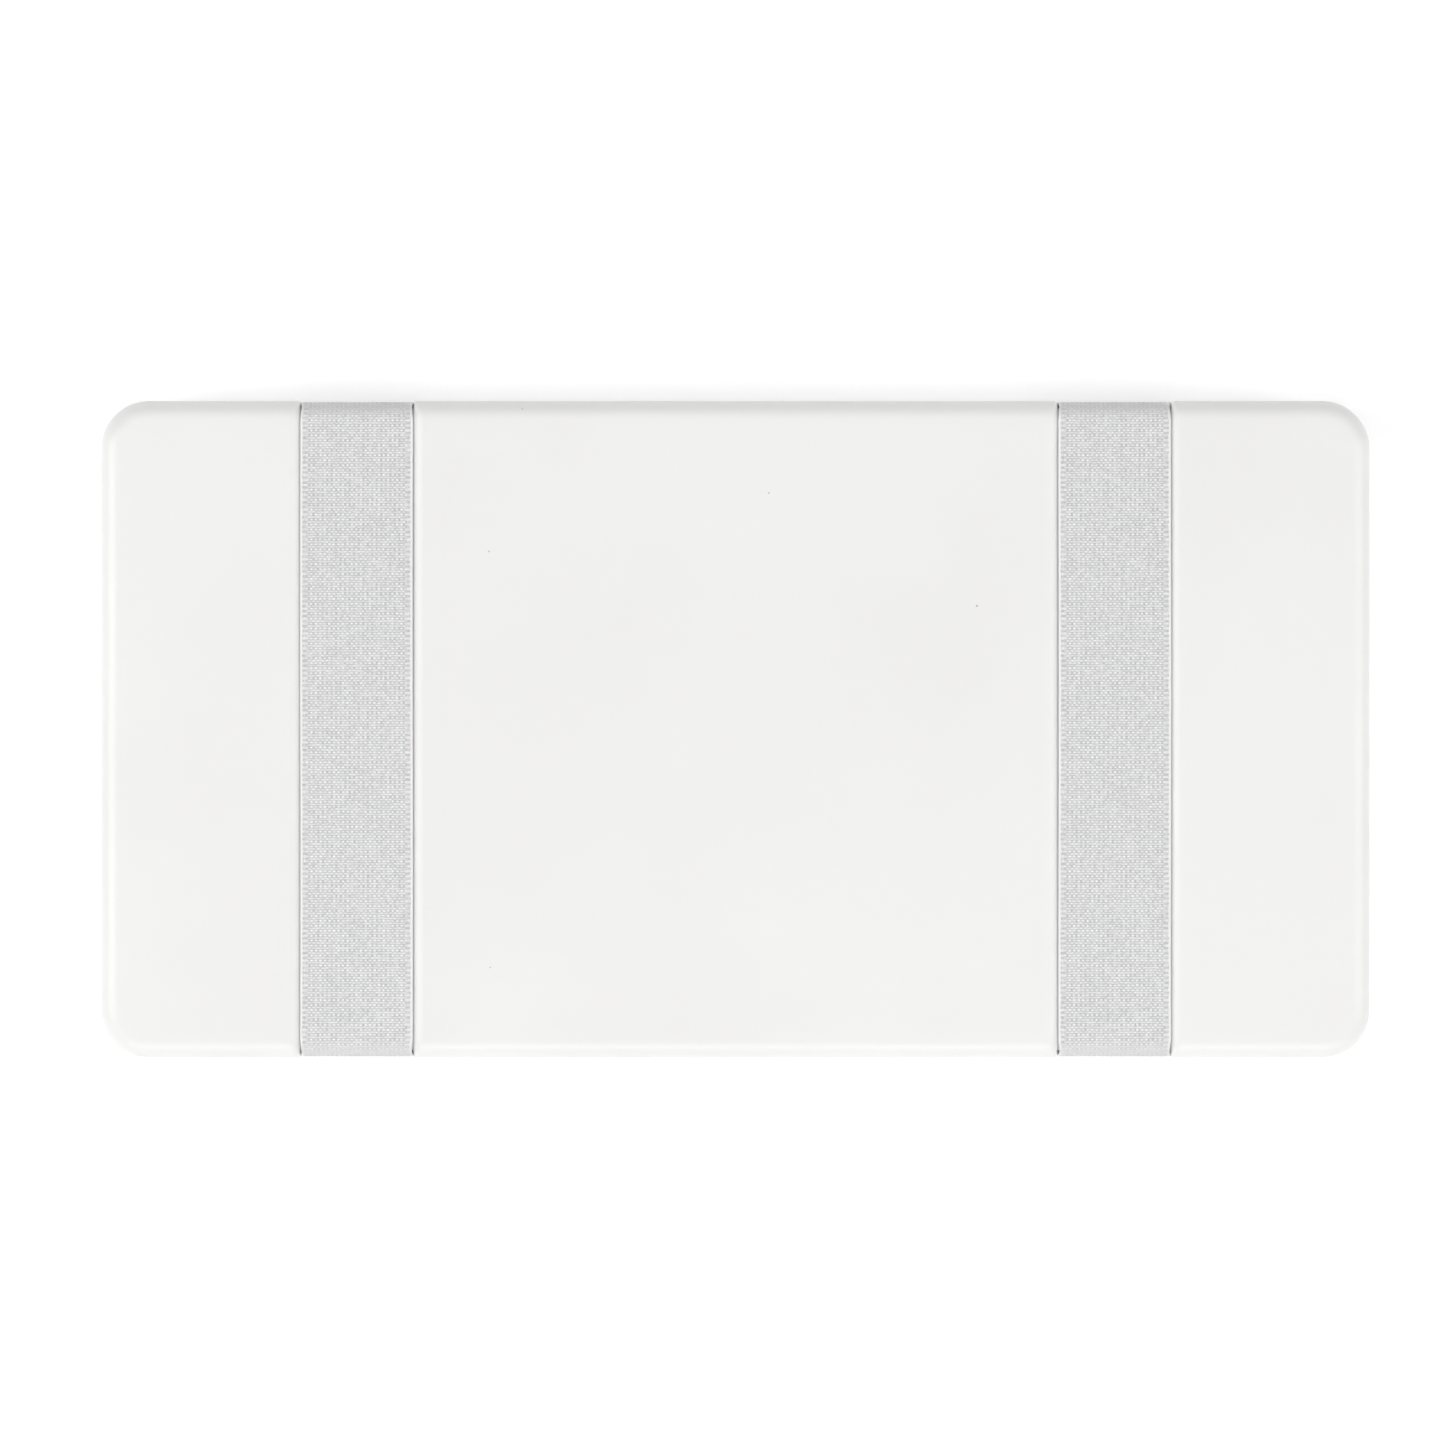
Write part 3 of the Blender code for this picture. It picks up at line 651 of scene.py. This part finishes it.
def band_relief(rows, wales, random):
    """Heights of the band's skin from 0 to 1: knit, a rung-like wale by each edge and rolled selvedges."""
    knit = knit_heights(rows, wales, random)
    rung = np.where(np.arange(rows)[:, None] % 4 == 0, 0.95, 0.5) * random.uniform(0.8, 1.0, (rows, 1))
    knit[:, 1:3] = rung
    knit[:, -3:-1] = rung
    roll = SELVEDGE_HEIGHT[None, :] * random.uniform(0.94, 1.0, (rows, 1))
    return np.hstack([roll, knit, roll[:, ::-1]])


def strap_map(item, across, along, bend):
    """Map the band in wales across and loop rows along, and note where it bends, for its material."""
    rows, wide = len(along), len(across)
    flat = np.stack(np.broadcast_arrays(across[None, :], along[:, None]), axis=2)
    corners = np.zeros(len(item.data.loops), np.int32)
    item.data.loops.foreach_get("vertex_index", corners)
    values = flat.reshape(-1, 2)[corners].reshape(-1, 4, 2)
    face_rows = corners.reshape(-1, 4) // wide
    wrapped = (face_rows.max(axis=1) - face_rows.min(axis=1) > 1)[:, None] & (face_rows == 0)
    values[..., 1] += wrapped * (rows / 4)
    layer = item.data.uv_layers.new(name="strap")
    layer.data.foreach_set("uv", values.astype(np.float32).ravel())
    spread = np.repeat(bend[:, None], wide, 1).astype(np.float32)
    item.data.attributes.new("bend", "FLOAT", "POINT").data.foreach_set("value", spread.ravel())


def elastic_band(name, centre, seed):
    """A knitted elastic loop with a sewn lap, and the way round it."""
    _, _, _, _, total = loop_places(8)
    rows = 4 * round(total / ROW_PITCH)
    y, z, ny, nz, total = loop_places(rows)
    along = total * np.arange(rows) / rows
    half = BAND_WIDTH / 2
    wales = round((BAND_WIDTH - 2 * SELVEDGE) / WALE_PITCH)
    inner = (half - SELVEDGE) * np.linspace(-1, 1, 2 * wales + 1)
    relief = band_relief(rows, wales, np.random.default_rng(seed))
    across = np.concatenate([-half + SELVEDGE_ACROSS, inner, (half - SELVEDGE_ACROSS)[::-1]])
    tuck = np.concatenate([1 - SELVEDGE_HEIGHT, np.zeros(len(inner)), (1 - SELVEDGE_HEIGHT)[::-1]])

    # Elastic under tension draws in a little where it turns over the case's edges, and its knit flattens.
    turning = np.minimum(np.abs(ny), np.abs(nz)) * math.sqrt(2)
    narrow = 1 - 0.022 * turning
    relief = 0.6 + (relief - 0.6) * (1 - 0.7 * turning[:, None])
    extra = lap_share(y, nz) * BAND_THICKNESS
    depth = (1 - relief) * RELIEF + (tuck * SELVEDGE_TUCK)[None, :] - extra[:, None]
    middle = centre + LEAN + SWAY * np.sin(2 * np.pi * along / total * 3 + seed)

    # The inside is a plain flat face, one thickness in.
    under = np.linspace(half - 0.25 * MM, -half + 0.25 * MM, 7)
    flat = np.full((rows, len(under)), BAND_THICKNESS)
    across = np.concatenate([across, under])
    depth = np.hstack([depth, flat])
    x = middle[:, None] + across[None, :] * narrow[:, None]
    ring_y = y[:, None] - ny[:, None] * depth
    ring_z = z[:, None] - nz[:, None] * depth

    vertices = np.stack([x, ring_y, ring_z], axis=2).reshape(-1, 3)
    first = np.arange(rows)[:, None] * len(across) + np.arange(len(across))[None, :]
    after_row = np.roll(first, -1, axis=0)
    faces = np.stack([first, np.roll(first, -1, axis=1), np.roll(after_row, -1, axis=1), after_row], axis=2)
    item = add_mesh(name, vertices, faces.reshape(-1, 4), sharp=80)
    strap_map(item, across / WALE_PITCH, along / total * rows / 4, turning)
    return item, total


def zigzag_thread(name, centre):
    """Two zigzag rows of thread through the lap, which bow up off the band between the needle holes."""
    half = BAND_WIDTH / 2 - 2.0 * MM
    row_offset = LAP_LENGTH / 2 - 3.2 * MM
    surface = CASE_BOTTOM + BAND_RECESS - BAND_THICKNESS
    teeth, steps = 12, 6
    swing, sunk, bow = 1.2 * MM, 0.12 * MM, 0.26 * MM
    points = []
    for side in (-1, 1):
        corners = []
        for tooth in range(teeth + 1):
            way = 1 if tooth % 2 else -1
            x = -side * (-half + 2 * half * tooth / teeth)
            corners.append((x, LAP_CENTRE + side * row_offset + swing * way))
        for (x0, y0), (x1, y1) in zip(corners, corners[1:]):
            for step in range(steps):
                share = step / steps
                height = surface + sunk - bow * math.sin(math.pi * share)
                points.append((centre + x0 + (x1 - x0) * share, y0 + (y1 - y0) * share, height))
    curve = bpy.data.curves.new(name, "CURVE")
    curve.dimensions = "3D"
    curve.bevel_depth = 0.2 * MM
    curve.bevel_resolution = 3
    curve.use_fill_caps = True
    spline = curve.splines.new("POLY")
    spline.points.add(len(points) - 1)
    for point, place in zip(spline.points, points):
        point.co = (*place, 1.0)
    item = bpy.data.objects.new(name, curve)
    bpy.context.scene.collection.objects.link(item)
    return item


def add_bands():
    """Both bands with their stitching."""
    elastic, thread = knitted_elastic(), sewing_thread()
    for side, word in ((-1, "left"), (1, "right")):
        centre = side * BAND_OFFSET
        band, around = elastic_band(f"elastic_band_{word}_knit", centre, 3 + side)
        finish_piece(band, elastic, f"band_{word}", f"elastic_band_{word}")
        sewn = zigzag_thread(f"band_stitching_{word}_thread", centre)
        finish_piece(sewn, thread, f"band_{word}", f"band_stitching_{word}")


# Pieces inside the case --------------------------------------------------------------------------


SEAL_ROUND = 0.35 * MM


def lid_seal():
    """The silicone ring, with softly rounded corners."""
    outer, inner = HALF_LENGTH - seal_high.x, RIB_OUT - GAP
    low, high, r = seal_low.z, seal_high.z, SEAL_ROUND
    profile = [
        *plain_arc(outer + r, low + r, r, 180, 270, 4),
        *plain_arc(inner - r, low + r, r, 270, 360, 4),
        *plain_arc(inner - r, high - r, r, 0, 90, 4),
        *plain((outer + CHANNEL_CHAMFER, high), (outer, high - CHANNEL_CHAMFER)),
    ]
    return round_shell("lid_seal_ring", profile, closed=True)


TRAY_FLANGE_TOP = 20.4 * MM
TRAY_FLANGE_BOTTOM = 19.2 * MM
TRAY_OUT = 6.9 * MM
TRAY_IN = 8.3 * MM
TRAY_FLOOR = 1.4 * MM
TRAY_FILLET = 0.8 * MM
GRIP_HALF = 15.0 * MM
GRIP_ROUND = 3.0 * MM


def grip_rise(y):
    """The height of the tray's finger grips above its flange, with rounded top corners."""
    past = np.clip(np.abs(y) - (GRIP_HALF - GRIP_ROUND), 0, GRIP_ROUND) / GRIP_ROUND
    full = tray_high.z - TRAY_FLANGE_TOP
    shape = full - GRIP_ROUND * (1 - np.sqrt(1 - past**2))
    return np.where(np.abs(y) < GRIP_HALF, shape, 0.0)


def palette_tray():
    """The lift-out tray with its flange and the two finger grips at its ends."""
    flange = HALF_LENGTH - tray_high.x
    low = tray_low.z
    grip = [
        (TRAY_OUT + 0.15 * MM, TRAY_FLANGE_TOP, None, 0),
        (TRAY_OUT + 0.15 * MM, TRAY_FLANGE_TOP, None, 0.97),
        (TRAY_OUT + 0.35 * MM, TRAY_FLANGE_TOP, None, 1.0),
        (TRAY_IN - 0.2 * MM, TRAY_FLANGE_TOP, None, 1.0),
        (TRAY_IN, TRAY_FLANGE_TOP - 0.02 * MM, None, 0.97),
        (TRAY_IN, TRAY_FLANGE_TOP - 0.05 * MM, None, 0),
    ]
    profile = [
        *plain((8.4 * MM, low)),
        *plain_arc(TRAY_OUT + TRAY_FILLET, low + TRAY_FILLET, TRAY_FILLET, 270, 180, 6),
        *plain(
            (TRAY_OUT, TRAY_FLANGE_BOTTOM),
            (flange, TRAY_FLANGE_BOTTOM),
            (flange, TRAY_FLANGE_TOP - RIM_ROUND),
            (flange + RIM_ROUND, TRAY_FLANGE_TOP),
        ),
        *grip,
        *plain_arc(TRAY_IN + TRAY_FILLET, low + TRAY_FLOOR + TRAY_FILLET, TRAY_FILLET, 180, 270, 6),
        *plain((9.6 * MM, low + TRAY_FLOOR)),
    ]
    return round_shell("palette_tray_moulding", profile, rise=grip_rise)


def hydration_foam():
    """The foam pad, with rounded cut edges and a gently uneven top."""
    inset, r = HALF_LENGTH - foam_high.x, 0.9 * MM
    profile = [
        *plain_arc(inset + r, foam_low.z + r, r, 270, 180, 6),
        *plain_arc(inset + r, foam_high.z - r - 0.1 * MM, r, 180, 90, 6),
    ]

    def swell(x, y):
        waves = np.sin(x * 95 + 1) * np.sin(y * 120) + 0.6 * np.sin(x * 230 + y * 170)
        return 0.05 * MM * waves

    return round_shell("hydration_foam_pad", profile, wobble=swell)


def hydration_sheet():
    """The membrane sheet, lying on the foam with faint ripples."""
    inset = HALF_LENGTH - sheet_high.x
    middle = (sheet_low.z + sheet_high.z) / 2
    half = 0.06 * MM

    def ripple(x, y):
        return 0.05 * MM * (np.sin(x * 60 + y * 25) + np.sin(x * 24 - y * 90 + 2)) / 2

    profile = plain((inset, middle - half), (inset, middle + half))
    return round_shell("hydration_sheet_membrane", profile, wobble=ripple)


def rounded_outline(half_x, half_y, radius, steps=8):
    """A rounded rectangle, anticlockwise."""
    points = []
    for corner, (sx, sy) in enumerate(((1, 1), (-1, 1), (-1, -1), (1, -1))):
        for step in range(steps + 1):
            angle = math.pi / 2 * (corner + step / steps)
            points.append((
                sx * (half_x - radius) + radius * math.cos(angle),
                sy * (half_y - radius) + radius * math.sin(angle),
            ))
    return points


PAD_CORNER = 3.0 * MM


def slab(name, centre, half_x, half_y, radius, levels):
    """A pad with rounded corners through (inset, z) levels."""
    vertices, faces = [], []
    for inset, z in levels:
        for x, y in rounded_outline(half_x - inset, half_y - inset, radius - inset):
            vertices.append((centre[0] + x, centre[1] + y, z))
    count = len(vertices) // len(levels)
    for level in range(len(levels) - 1):
        for i in range(count):
            after = (i + 1) % count
            a, b = level * count, (level + 1) * count
            faces.append((a + i, a + after, b + after, b + i))
    faces.append(tuple(range(count)))
    faces.append(tuple(range(len(vertices) - count, len(vertices))))
    return add_mesh(name, vertices, faces)


def spare_sheet_pack():
    """The pack of spare sheets, with the edges of the single sheets to be seen all round."""
    centre = (pack_low + pack_high) / 2
    half = (pack_high - pack_low) / 2
    sheets = 14
    levels = []
    for sheet in range(sheets):
        low = pack_low.z + 2 * half.z * sheet / sheets
        high = pack_low.z + 2 * half.z * (sheet + 1) / sheets
        tuck = 0.12 * MM * (1 + math.sin(sheet * 2.4)) / 2
        edge = 0.25 * (high - low)
        levels += [(tuck + 0.15 * MM, low + 0.01 * MM), (tuck, low + edge), (tuck, high - edge)]
    levels.append((0.2 * MM, pack_high.z))
    return slab("spare_sheet_pack_stack", centre, half.x, half.y, PAD_CORNER, levels)


def rubber_foot(node):
    """A foot with a rounded sole edge."""
    low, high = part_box(node)
    centre, half = (low + high) / 2, (high - low) / 2
    r = 0.5 * MM
    levels = []
    for step in range(7):
        angle = math.pi / 2 * step / 6
        levels.append((r * (1 - math.sin(angle)), low.z + r * (1 - math.cos(angle))))
    levels += [(0.0, high.z - 0.1 * MM), (0.1 * MM, high.z)]
    return slab(f"{node}_pad", centre, half.x, half.y, PAD_CORNER, levels)


def brush_comb(node):
    """A rubber comb with three round-bottomed slots and soft edges."""
    low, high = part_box(node)
    centre = (low + high) / 2
    half = (high.y - low.y) / 2
    slot_radius, tooth, web = 3.25 * MM, 2.6 * MM, 1.7 * MM
    shape = [(half, low.z), (half, high.z)]
    for index in (2, 1, 0):
        middle = -half + tooth + slot_radius + index * (2 * slot_radius + tooth)
        shape.append((middle + slot_radius, high.z))
        for step in range(17):
            angle = -math.pi * step / 16
            y = middle + slot_radius * math.cos(angle)
            shape.append((y, low.z + web + slot_radius + slot_radius * math.sin(angle)))
        shape.append((middle - slot_radius, high.z))
    shape += [(-half, high.z), (-half, low.z)]
    count = len(shape)
    vertices = [(x, centre.y + y, z) for x in (low.x, high.x) for y, z in shape]
    faces = [tuple(range(count)), tuple(range(count, 2 * count))]
    faces += [(i, (i + 1) % count, count + (i + 1) % count, count + i) for i in range(count)]
    item = add_mesh(f"{node}_rubber", vertices, faces)
    bevel = item.modifiers.new("soft_edges", "BEVEL")
    bevel.width = 0.35 * MM
    bevel.segments = 3
    bevel.limit_method = "ANGLE"
    bevel.angle_limit = math.radians(40)
    bevel.harden_normals = True
    return item


def add_shells():
    """Both halves of the case, the seal and the tray."""
    case_white = moulded_white("case_plastic_white", (0.88, 0.878, 0.862), True)
    finish_piece(base_shell(), case_white, "base", "base_shell")
    finish_piece(lid_shell(), case_white, "lid", "lid_shell")
    silicone = soft_rubber("seal_silicone", (0.55, 0.57, 0.60), 0.45)
    finish_piece(lid_seal(), silicone, "lid", "lid_seal")
    tray_white = moulded_white("tray_plastic_white", (0.84, 0.845, 0.845), False)
    finish_piece(palette_tray(), tray_white, "tray", "palette_tray")


def add_contents():
    """What the case holds, and the feet that it stands on."""
    foam = finish_piece(hydration_foam(), open_foam(), "foam", "hydration_foam")
    membrane = fibre_paper("membrane_paper", (0.90, 0.89, 0.84))
    sheet = finish_piece(hydration_sheet(), membrane, "sheet", "hydration_sheet")
    spare = fibre_paper("spare_paper", (0.92, 0.91, 0.88))
    finish_piece(spare_sheet_pack(), spare, "base", "spare_sheet_pack")
    rubber = soft_rubber("comb_and_foot_rubber", (0.17, 0.175, 0.19), 0.7)
    for side in ("left", "right"):
        finish_piece(brush_comb(f"brush_comb_{side}"), rubber, "base", f"brush_comb_{side}")
        for row in ("front", "back"):
            node = f"foot_{row}_{side}"
            finish_piece(rubber_foot(node), rubber, "base", node)


# Stage, lights and camera ------------------------------------------------------------------------


FLOOR_REACH = 6.0
BACKDROP_HEIGHT = 0.85


def pale_floor():
    """A plain pale surface that glows softly, and more so far out, where the lamps don't reach."""
    nodes = Nodes("pale_floor", (0.93, 0.93, 0.93), 0.6, Emission_Color=(1, 1, 1, 1))
    distance = nodes.add("VectorMath", [("Vector", nodes.position())], operation="LENGTH")
    nodes.link(nodes.ramp(distance.outputs["Value"], 0.6, 1.8, 0.23, 0.6, True), "Emission Strength")
    return nodes.material


def add_stage():
    """A pale floor that turns up into a low backdrop far behind every view."""
    corners = [(-1, -1), (1, -1), (1, 1), (-1, 1)]
    vertices = [(x * FLOOR_REACH, y * FLOOR_REACH, z) for z in (0, BACKDROP_HEIGHT) for x, y in corners]
    walls = [(i, (i + 1) % 4, (i + 1) % 4 + 4, i + 4) for i in range(4)]
    mesh = bpy.data.meshes.new("floor")
    mesh.from_pydata(vertices, [], [(0, 1, 2, 3), *walls])
    mesh.materials.append(pale_floor())
    floor = bpy.data.objects.new("floor", mesh)
    bpy.context.scene.collection.objects.link(floor)


def area_light(name, place, size, power, colour=(1, 1, 1), aim=(0, 0, 0.015)):
    """A soft rectangular light that points at the palette."""
    data = bpy.data.lights.new(name, "AREA")
    data.shape = "RECTANGLE"
    data.size, data.size_y = size
    data.energy = power
    data.color = colour
    item = bpy.data.objects.new(name, data)
    bpy.context.scene.collection.objects.link(item)
    item.location = place
    item.rotation_euler = (Vector(aim) - Vector(place)).to_track_quat("-Z", "Y").to_euler()


def add_lights():
    """An overhead softbox, with weaker ones round the sides and, cooler, on the right."""
    world = bpy.data.worlds.new("studio")
    bpy.context.scene.world = world
    world.use_nodes = True
    background = world.node_tree.nodes["Background"]
    background.inputs["Color"].default_value = (1, 1, 1, 1)
    background.inputs["Strength"].default_value = 0.02
    area_light("overhead", (0.0, 0.0, 2.4), (1.8, 1.8), 11.8)
    area_light("left", (-1.25, 0.0, 1.1), (0.7, 1.4), 12.4)
    area_light("front", (0.0, -1.25, 1.1), (1.8, 0.7), 11.5)
    area_light("right", (1.25, 0.0, 1.1), (0.7, 1.4), 10.5, (0.98, 0.975, 1.0))
    area_light("back", (0.0, 1.0, 1.4), (1.8, 0.7), 3.4)


VIEW_WIDTH = 320.4 * MM
CAMERA_ABOVE_LID = 1.495
CAMERA_SHIFT = (-2.9 * MM, 1.5 * MM)


def add_camera():
    """A long lens straight above the lid, nearly centred on it."""
    data = bpy.data.cameras.new("camera")
    data.sensor_width = 36
    data.lens = data.sensor_width * CAMERA_ABOVE_LID / VIEW_WIDTH
    data.clip_start, data.clip_end = 0.05, 20
    camera = bpy.data.objects.new("camera", data)
    bpy.context.scene.collection.objects.link(camera)
    camera.location = (*CAMERA_SHIFT, CASE_TOP + CAMERA_ABOVE_LID)
    bpy.context.scene.camera = camera
    bpy.context.scene.view_settings.view_transform = "Standard"


add_camera()
add_shells()
add_bands()
add_contents()
add_stage()
add_lights()
